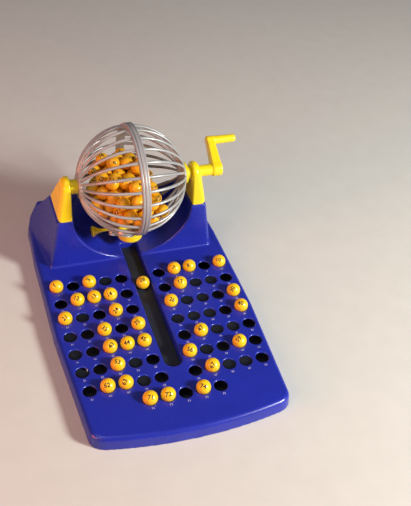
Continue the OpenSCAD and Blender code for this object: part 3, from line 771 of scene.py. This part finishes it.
def printed(text, size, grain):
    """Flat print as a thin closed solid: x, y centred on the text, z from -1 to 1."""
    curve = bpy.data.curves.new("print", "FONT")
    curve.body = text
    curve.size = size
    curve.align_x = "CENTER"
    curve.resolution_u = 3
    curve.extrude = 1.0
    curve.offset = 0.022 * size
    obj = bpy.data.objects.new("print", curve)
    bpy.context.scene.collection.objects.link(obj)
    mesh = bpy.data.meshes.new_from_object(obj.evaluated_get(bpy.context.evaluated_depsgraph_get()))
    bm = bmesh.new()
    bm.from_mesh(mesh)
    bmesh.ops.remove_doubles(bm, verts=bm.verts, dist=1e-4)
    bmesh.ops.triangulate(bm, faces=bm.faces)
    for _ in range(3):
        long = [e for e in bm.edges if (e.verts[0].co - e.verts[1].co).xy.length > grain]
        if not long:
            break
        bmesh.ops.subdivide_edges(bm, edges=long, cuts=1)
        bmesh.ops.triangulate(bm, faces=bm.faces)
    bm.verts.index_update()
    places = np.array([v.co for v in bm.verts])
    faces = [[v.index for v in f.verts] for f in bm.faces]
    bm.free()
    bpy.data.objects.remove(obj)
    bpy.data.curves.remove(curve)
    bpy.data.meshes.remove(mesh)
    places[:, :2] -= (places[:, :2].min(0) + places[:, :2].max(0)) / 2
    return places, faces


def wrapped(flat):
    """Print laid on a ball about its +Z pole."""
    r = np.hypot(flat[:, 0], flat[:, 1])
    a = r / BALL_R
    k = np.where(r > 1e-9, np.sin(a) / np.maximum(r, 1e-9), 1 / BALL_R)
    radius = BALL_R + np.where(flat[:, 2] > 0, PRINT_LIFT, -PRINT_SINK)
    return np.stack([flat[:, 0] * k, flat[:, 1] * k, np.cos(a)], -1) * radius[:, None]


def facing(direction, spin):
    """A turn that carries +Z to direction, with the print's up leaning by spin from +Y's side."""
    z = np.array(direction, float)
    z /= np.linalg.norm(z)
    x = np.cross([0.0, 1.0, 0.25], z)
    x /= np.linalg.norm(x)
    y = np.cross(z, x)
    c, s = math.cos(spin), math.sin(spin)
    return np.stack([c * x + s * y, -s * x + c * y, z], -1)


def ball_centres(node):
    """Each ball's centre in a CAD node, in mm, from the vertices and their normals."""
    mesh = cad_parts[node].data
    co = np.zeros(len(mesh.vertices) * 3, np.float32)
    mesh.vertices.foreach_get("co", co)
    no = np.zeros(len(mesh.vertices) * 3, np.float32)
    mesh.vertex_normals.foreach_get("vector", no)
    c = (co.reshape(-1, 3) / MM).astype(float) - BALL_R * no.reshape(-1, 3)
    found = []
    # Every vertex gives its ball's centre, so each close group of them is one ball
    while len(c):
        near = np.linalg.norm(c - c[0], axis=1) < BALL_NEAR
        middle = np.median(c[near], axis=0)
        near = np.linalg.norm(c - middle, axis=1) < BALL_OWN
        found.append(np.median(c[near], axis=0))
        c = c[~near]
    return found


number_prints = {}


def number_print(n):
    """A number wrapped on a ball, made once."""
    if n not in number_prints:
        flat, faces = printed(str(n), PRINT_HIGH, PRINT_GRAIN)
        number_prints[n] = (wrapped(flat), faces)
    return number_prints[n]


sphere_places, sphere_faces = cube_sphere(10)


def ball_piece(name, centres, numbers, aim, spread):
    """Balls with their number printed on two sides, the first side turned towards aim, give or take spread."""
    parts = Parts()
    for centre, n in zip(centres, numbers):
        direction = np.array(aim) + rng.normal(0, spread, 3)
        turn = facing(direction, rng.uniform(-0.9, 0.9))
        tone = rng.uniform()
        parts.add((sphere_places * BALL_R) @ turn.T + centre, sphere_faces, 0, sphere_places, tone)
        places, faces = number_print(n)
        for flip in (1, -1):
            shown = places * np.array([flip, 1, flip])
            parts.add(shown @ turn.T + centre, faces, 1, shown / BALL_R, tone)
    return parts.build(name, attributes=True)


# ---------------------------------------------------------------- screws, pins, spring


def screw_head():
    """A pan head of radius 1 and height 1 above z = 0, with a cross recess."""

    def head(x, y, z):
        rho = np.hypot(x, y)
        d = meet(np.maximum(rho - 1, -z), np.sqrt(rho * rho + (z + 1.4) ** 2) - 2.4, 0.12)
        d = np.maximum(d, -z)
        a = np.maximum(np.abs(x) - 0.62 + 0.25 * (1 - z), np.abs(y) - 0.14)
        b = np.maximum(np.abs(y) - 0.62 + 0.25 * (1 - z), np.abs(x) - 0.14)
        recess = np.maximum(np.minimum(a, b), 0.35 - z)
        return cut(d, recess, 0.03)

    return surface_mesh(head, (-1.15, -1.15, -0.1), (1.15, 1.15, 1.15), 0.075)


head_places, head_quads = screw_head()


def screws(name, spots, head_r, head_h, shank_r):
    """Screws at (head's underside, direction of the shank, shank length)."""
    parts = Parts()
    for spot, direction, length in spots:
        z = -np.array(direction, float)
        x = np.cross(z, [0.31, 0.87, 0.38])
        x /= np.linalg.norm(x)
        turn = np.stack([x, np.cross(z, x), z], -1)
        parts.add((head_places * [head_r, head_r, head_h]) @ turn.T + spot, head_quads)
        profile = [(-0.05, 0.02), (-0.05, shank_r)]
        steps = max(2, int(length / 0.8))
        for k in range(steps):
            q = (k + 0.5) / steps * (length - 1)
            profile += [(q, shank_r), (q + 0.2, shank_r * 0.8)]
        profile += [(length - 0.9, shank_r * 0.85), (length, 0.02)]
        places, faces = lathe(profile, 16)
        places = places[:, [1, 2, 0]] * [1, 1, -1]
        parts.add(places @ turn.T + spot, faces)
    obj = parts.build(name)
    tidy_normals(obj)
    return edge_marked(obj)


def pin(name, start, direction, length, r, head=None):
    """A round pin with broken edges, and an optional head (radius, height) at its far end."""
    x = np.array(direction, float)
    y = np.cross(x, [0.3, 0.2, 0.93])
    y /= np.linalg.norm(y)
    turn = np.stack([x, y, np.cross(x, y)], -1)
    profile = [(0, 0.02), (0, r - 0.25), (0.25, r)]
    if head:
        hr, hh = head
        profile += [(length - hh, r), (length - hh, hr - 0.1), (length - hh + 0.15, hr)]
        profile += [(length - 0.25, hr - 0.15), (length, hr * 0.6), (length, 0.02)]
    else:
        profile += [(length - 0.25, r), (length, r - 0.25), (length, 0.02)]
    places, faces = lathe(profile, 40)
    parts = Parts()
    parts.add(places @ turn.T + start, faces)
    obj = parts.build(name)
    tidy_normals(obj)
    return edge_marked(obj, 50)


def coil(name, centre, r, wire_r, y0, y1, turns):
    """A coil of wire about an axis along Y."""
    a = np.linspace(0, 2 * math.pi * turns, int(40 * turns))
    path = np.stack([r * np.cos(a), np.linspace(y0, y1, len(a)), r * np.sin(a)], -1)
    out = np.stack([np.cos(a), 0 * a, np.sin(a)], -1)
    across = np.broadcast_to([0.0, 1.0, 0.0], path.shape)
    w = np.full(len(a), wire_r)
    parts = Parts()
    parts.add(*tube(path + [centre[0], 0, centre[1]], across, out, w, w, 10))
    obj = parts.build(name)
    tidy_normals(obj)
    return obj


# ---------------------------------------------------------------- materials


WEAR = 0.35  # share of the scuffed colour on the sharpest edges


def material(
    name, colour, roughness, vary=0.12, grain=900.0, bump=0.06, metallic=0.0, coat=0.0,
    wear=None, swirl=0.0, balls=None,
):
    """A moulded plastic or metal: colour clouding, fine grain in the gloss, scuffs on edges and a low bump.

    vary is the depth of the clouding, wear the colour of scuffed edges and swirl the strength of slow waves.
    balls is the colour that each ball leans towards by its own tone, and adds the seam round each ball.
    """
    m = bpy.data.materials.new(name)
    m.use_nodes = True
    t = m.node_tree
    b = t.nodes["Principled BSDF"]
    link = t.links.new

    def node(kind, **values):
        n = t.nodes.new(kind)
        for k, v in values.items():
            if k in n.inputs.keys():
                n.inputs[k].default_value = v
            else:
                setattr(n, k, v)
        return n

    def mix(factor, a, c, blend="MIX"):
        n = t.nodes.new("ShaderNodeMix")
        n.data_type = "RGBA"
        n.blend_type = blend
        for socket, value in ((n.inputs[0], factor), (n.inputs[6], a), (n.inputs[7], c)):
            if hasattr(value, "is_output"):
                link(value, socket)
            else:
                socket.default_value = value
        return n.outputs[2]

    def ramp(value, low, high, out_low=0.0, out_high=1.0):
        n = node("ShaderNodeMapRange")
        link(value, n.inputs["Value"])
        n.inputs["From Min"].default_value = low
        n.inputs["From Max"].default_value = high
        n.inputs["To Min"].default_value = out_low
        n.inputs["To Max"].default_value = out_high
        return n.outputs["Result"]

    place = node("ShaderNodeTexCoord").outputs["Object"]
    cloud = node("ShaderNodeTexNoise", Scale=38.0, Detail=4.0, Roughness=0.55)
    fine = node("ShaderNodeTexNoise", Scale=grain, Detail=3.0, Roughness=0.6)
    for n in (cloud, fine):
        link(place, n.inputs["Vector"])
    low = [c * (1 - vary) for c in colour] + [1]
    high = [min(1.0, c * (1 + vary)) for c in colour] + [1]
    tint = mix(ramp(cloud.outputs[0], 0.3, 0.7), low, high)
    if balls:
        tone = node("ShaderNodeAttribute", attribute_name="ball_tone")
        tint = mix(ramp(tone.outputs["Fac"], 0, 1, 0.0, 0.5), tint, [*balls, 1])
    if wear:
        edge = node("ShaderNodeNewGeometry").outputs["Pointiness"]
        tint = mix(ramp(edge, 0.53, 0.6, 0.0, WEAR), tint, [*wear, 1])
    link(tint, b.inputs["Base Color"])
    link(ramp(fine.outputs[0], 0.3, 0.7, roughness * 0.8, roughness * 1.25), b.inputs["Roughness"])
    relief = node("ShaderNodeBump", Strength=bump, Distance=0.0004)
    height = fine.outputs[0]
    if swirl:
        flow = node("ShaderNodeTexNoise", Scale=14.0, Detail=1.5, Distortion=0.6)
        link(place, flow.inputs["Vector"])
        add = node("ShaderNodeMath", operation="MULTIPLY_ADD")
        link(flow.outputs[0], add.inputs[0])
        add.inputs[1].default_value = swirl
        link(height, add.inputs[2])
        height = add.outputs[0]
    if balls:
        where = node("ShaderNodeAttribute", attribute_name="ball_local")
        split = node("ShaderNodeSeparateXYZ")
        link(where.outputs["Vector"], split.inputs[0])
        flat = node("ShaderNodeMath", operation="ABSOLUTE")
        link(split.outputs["X"], flat.inputs[0])
        seam = ramp(flat.outputs[0], 0.0, 0.03, 1.6, 0.0)
        add = node("ShaderNodeMath", operation="ADD")
        link(seam, add.inputs[0])
        link(height, add.inputs[1])
        height = add.outputs[0]
    link(height, relief.inputs["Height"])
    link(relief.outputs["Normal"], b.inputs["Normal"])
    for socket, value in (
        ("Metallic", metallic), ("IOR", 1.5), ("Specular IOR Level", 0.5),
        ("Coat Weight", coat), ("Coat Roughness", 0.08),
    ):
        b.inputs[socket].default_value = value
    return m


blue = material(
    "blue_moulded", (0.012, 0.022, 0.36), 0.3, vary=0.08, wear=(0.05, 0.07, 0.6), bump=0.02, swirl=0.6,
    coat=0.15,
)
yellow = material(
    "yellow_moulded", (0.86, 0.66, 0.008), 0.28, vary=0.05, wear=(0.95, 0.78, 0.08), bump=0.03, coat=0.2
)
grey = material(
    "cage_moulded", (0.38, 0.38, 0.4), 0.34, vary=0.08, wear=(0.62, 0.62, 0.64), bump=0.08, metallic=0.25
)
dark = material("black_moulded", (0.016, 0.019, 0.032), 0.5, vary=0.2, bump=0.12)
steel = material("screw_steel", (0.55, 0.56, 0.58), 0.3, vary=0.08, metallic=1.0, bump=0.1, grain=2500)
ball_shell = material(
    "ball_moulded", (0.88, 0.58, 0.008), 0.3, vary=0.03, balls=(0.90, 0.5, 0.008), bump=0.03, coat=0.2
)
# Painted shade: the balls inside the cage get a deeper orange copy of the ball colour, standing in for the
# dimmer light in the cage
heap_shell_painted_shade = material(
    "ball_moulded_painted_shade", (0.9, 0.42, 0.008), 0.3, vary=0.03, balls=(0.92, 0.5, 0.008), bump=0.03, coat=0.2
)
ink = material("print_black", (0.012, 0.010, 0.010), 0.45, vary=0.3, bump=0.1)
pale_ink = material("print_pale", (0.35, 0.34, 0.62), 0.5, vary=0.15, bump=0.1)

# Each finish is a slot and the materials of its pieces. The heap has a deeper orange than the other balls:
# painted shade for the dimmer light inside the cage
BLUE = ("blue_plastic", blue)
YELLOW = ("yellow_plastic", yellow)
GREY = ("cage_plastic", grey)
STEEL = ("screw_steel", steel)
BALLS = ("ball_plastic", ball_shell, ink)


def dress(obj, body, nodes, slot, *materials):
    """Gives a piece its materials and body, and hides the CAD nodes that it replaces. slot is not used."""
    for m in materials:
        obj.data.materials.append(m)
    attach(obj, body)
    if nodes:
        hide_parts(*nodes)


# ---------------------------------------------------------------- the object

def box_round(nodes, margin):
    """The box in mm round some CAD nodes."""
    boxes = [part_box(n) for n in nodes]
    low = [min(a) / MM - margin for a in zip(*(lo for lo, _ in boxes))]
    return low, [max(a) / MM + margin for a in zip(*(hi for _, hi in boxes))]


port_box = box_round(["exit_port", "exit_gate"], 1.5)
# Name, field, the corners of its box, cell, body, the CAD node it replaces, finish
for name, field, low, high, cell, body, node, finish in (
    ("base_moulding", shell_distance, (-112, -182, -0.7), (112, 181.5, 79), 1.1, "base", "base_shell", BLUE),
    ("cap_left", left_cap_distance, (-87, 72, 76), (-67, 130, 128), 0.85, "base", "left_cap", YELLOW),
    ("cap_right", right_cap_distance, (67, 72, 76), (87, 130, 128), 0.85, "base", "right_cap", YELLOW),
    ("cup", cup_distance, (-19.5, 74, 21), (17, 115.5, 49), 0.55, "base", "catch_cup", YELLOW),
    ("lever", lever_distance, (-46, 82, 27), (3, 104, 54), 0.45, "lever", "release_lever", YELLOW),
    ("crank", crank_distance, (59.5, 80, 103), (132, 126, 141), 0.8, "cage", "crank_handle", YELLOW),
    ("hub_left", left_hub_distance, (-78, 81, 104), (-59, 99, 122), 0.6, "cage", "left_hub", YELLOW),
    ("hub_right", right_hub_distance, (59, 77, 100), (70, 103, 126), 0.6, "cage", "right_hub", YELLOW),
    ("port", port_distance, *port_box, 0.5, "cage", "exit_port", GREY),
    ("gate", gate_distance, *port_box, 0.4, "gate", "exit_gate", GREY),
):
    dress(moulded(name, field, low, high, cell), body, [node], *finish)

dress(cage_half("cage_left", -1), "cage", ["cage_left_half"], *GREY)
dress(cage_half("cage_right", 1), "cage", ["cage_right_half"], *GREY)

CALLED = [
    1, 3, 7, 8, 10, 12, 13, 14, 17, 21, 24, 26, 30, 33, 35,
    40, 43, 44, 45, 47, 53, 56, 59, 62, 63, 67, 71, 72, 74,
]
CALLED_RISE = 2.7
TOWARD = (-0.25, -0.55, 0.8)  # the side on which most numbers can be read
called_places = [np.array([*SOCKETS[n - 1], BOARD_Z + CALLED_RISE]) for n in CALLED]
called = ball_piece("balls_called", called_places, CALLED, TOWARD, 0.12)
dress(called, "called_balls", ["called_balls"], *BALLS)
waiting = [n for n in range(1, LAST_NUMBER + 1) if n not in CALLED and n != ROLLING_NUMBER]
heap_places = ball_centres("cage_balls")
heap_numbers = [waiting[i % len(waiting)] for i in range(len(heap_places))]
heap = ball_piece("balls_heap", heap_places, heap_numbers, TOWARD, 1.3)
dress(heap, "base", ["cage_balls"], "ball_plastic", heap_shell_painted_shade, ink)
rolling = ball_piece("ball_rolling", ball_centres("rolling_ball"), [ROLLING_NUMBER], TOWARD, 0.1)
dress(rolling, "rolling_ball", ["rolling_ball"], *BALLS)

LABEL_HIGH, LABEL_DROP, LABEL_GRAIN = 3.3, 10.9, 50
labels = Parts()
for n, (sx, sy) in enumerate(SOCKETS, 1):
    flat, faces = printed(str(n), LABEL_HIGH, LABEL_GRAIN)
    flat[:, 2] = BOARD_Z + np.where(flat[:, 2] > 0, 0.06, -0.1)
    labels.add(flat + [sx, sy - LABEL_DROP, 0], faces)
dress(labels.build("socket_numbers"), "base", [], "blue_plastic", pale_ink)

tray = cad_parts["base_tray"]
tray.data.materials.clear()
tray.data.materials.append(dark)

RING_SCREW_R = 60.1
DOWN, UP, LEFT, RIGHT, BACK = (0, 0, -1), (0, 0, 1), (-1, 0, 0), (1, 0, 0), (0, 1, 0)
SIDES = (-1, 1)


def about_axis(degrees, place):
    """A place turned about X, carried to the cage's centre."""
    return np.array(Matrix.Rotation(math.radians(degrees), 3, "X")) @ np.array(place) + CAGE_CENTRE


base_spots = [(90, 60), (86, -72.7), (60, -158), (85, 160)]
base_spots = [((s * x, y, 0.95), UP, 8.5) for s in SIDES for x, y in base_spots]
cap_spots = [((s * 77, y, BLOCK_TOP - PLATE_T), UP, 10) for s in SIDES for y in (84, 118)]
cup_spots = [((s * CUP_SCREW_X, CUP_SCREW_Y, FOOT_Z + 2), DOWN, 9) for s in SIDES]
ring_spots = [(about_axis(a, [-RING_LEFT, 0, RING_SCREW_R]), RIGHT, 6.5) for a in (45, 135, 225, 315)]
hub_spots = []
for a in (90, 210, 330):
    hub_spots.append((about_axis(a, [-POLE_IN_X, 0, 5.0]), LEFT, 8))
    hub_spots.append((about_axis(a, [POLE_IN_X, 0, 9.5]), RIGHT, 5.5))
crank_spots = [(np.array([POLE_IN_X, CAGE_Y, CAGE_Z]), RIGHT, 9)]
# Name, places, radius and height of the head, radius of the shank, body, the CAD node it replaces
for name, spots, head_r, head_h, shank_r, body, node in (
    ("screws_base", base_spots, 2.7, 0.85, 1.4, "base", "base_screws"),
    ("screws_cap", cap_spots, 2.7, 1.6, 1.4, "base", "cap_screws"),
    ("screws_cup", cup_spots, 2.7, 1.6, 1.4, "base", "cup_screws"),
    ("screws_ring", ring_spots, 1.7, 0.6, 1.0, "cage", "ring_screws"),
    ("screws_hub", hub_spots, 1.9, 1.6, 1.0, "cage", "hub_screws"),
    ("screw_crank", crank_spots, 3.0, 1.6, 1.6, "cage", "crank_screw"),
):
    dress(screws(name, spots, head_r, head_h, shank_r), body, [node], *STEEL)

dress(pin("pin_lever", (LEVER_X, 99.3, LEVER_Z), BACK, 7.3, 1.3), "base", ["lever_pin"], *STEEL)
gate_foot = port_turn @ np.array([-GATE_ARM, 0, 58.7]) + CAGE_CENTRE
gate_pin = pin("pin_gate", gate_foot, port_turn @ np.array([0.0, 0.0, 1.0]), 5.4, 1.45, (2.5, 0.6))
dress(gate_pin, "cage", ["gate_pin"], *STEEL)
spring = coil("spring_lever", (LEVER_X, LEVER_Z), 2.15, 0.21, 103.12, 103.58, 2.1)
dress(spring, "base", ["lever_spring"], *STEEL)

# ---------------------------------------------------------------- stage, light, camera

FLOOR_HALF = 4000
floor_corners = [(u * FLOOR_HALF, v * FLOOR_HALF, 0) for u, v in ((-1, -1), (1, -1), (1, 1), (-1, 1))]
floor = mesh_object("floor", floor_corners, [[0, 1, 2, 3]])
floor.data.materials.append(material("floor_pale", (0.62, 0.61, 0.6), 0.8, vary=0.02, bump=0.0))

CAMERA_PLACE, CAMERA_LENS = (-0.1989, -0.6255, 0.6534), 58.83
CAMERA_VIEW, CAMERA_UP = (0.29032, 0.69995, -0.65252), (0.14665, 0.64129, 0.75315)
scene = bpy.context.scene
camera_data = bpy.data.cameras.new("camera")
camera_data.lens = CAMERA_LENS
camera = bpy.data.objects.new("camera", camera_data)
view = Vector(CAMERA_VIEW).normalized()
right = view.cross(Vector(CAMERA_UP)).normalized()
turn = Matrix((right, right.cross(view), -view)).transposed()
camera.matrix_world = Matrix.Translation(CAMERA_PLACE) @ turn.to_4x4()
scene.collection.objects.link(camera)
scene.camera = camera


def area_light(name, place, aim, size, power, colour):
    """A round lamp turned towards aim."""
    data = bpy.data.lights.new(name, "AREA")
    data.shape = "DISK"
    data.size = size
    data.energy = power
    data.color = colour
    lamp = bpy.data.objects.new(name, data)
    lamp.location = place
    lamp.rotation_euler = (Vector(aim) - Vector(place)).to_track_quat("-Z", "Y").to_euler()
    scene.collection.objects.link(lamp)


area_light("key", (1.08, -0.95, 0.8), (0, 0, 0.06), 0.32, 36, (1.0, 0.99, 0.88))
area_light("fill", (-1.35, -0.3, 0.36), (0, 0, 0.08), 0.5, 13, (1.0, 0.22, 0.1))
area_light("left", (-0.95, -0.75, 0.75), (0, 0, 0.06), 0.5, 4, (1.0, 0.66, 0.4))
area_light("top", (-0.35, -0.1, 1.5), (0, 0, 0.05), 0.7, 3, (0.9, 0.92, 1.0))
world = bpy.data.worlds.new("world")
world.use_nodes = True
sky = world.node_tree.nodes["Background"]
sky.inputs["Color"].default_value = (0.8, 0.82, 0.88, 1)
sky.inputs["Strength"].default_value = 0.13
scene.world = world
scene.view_settings.view_transform = "Standard"
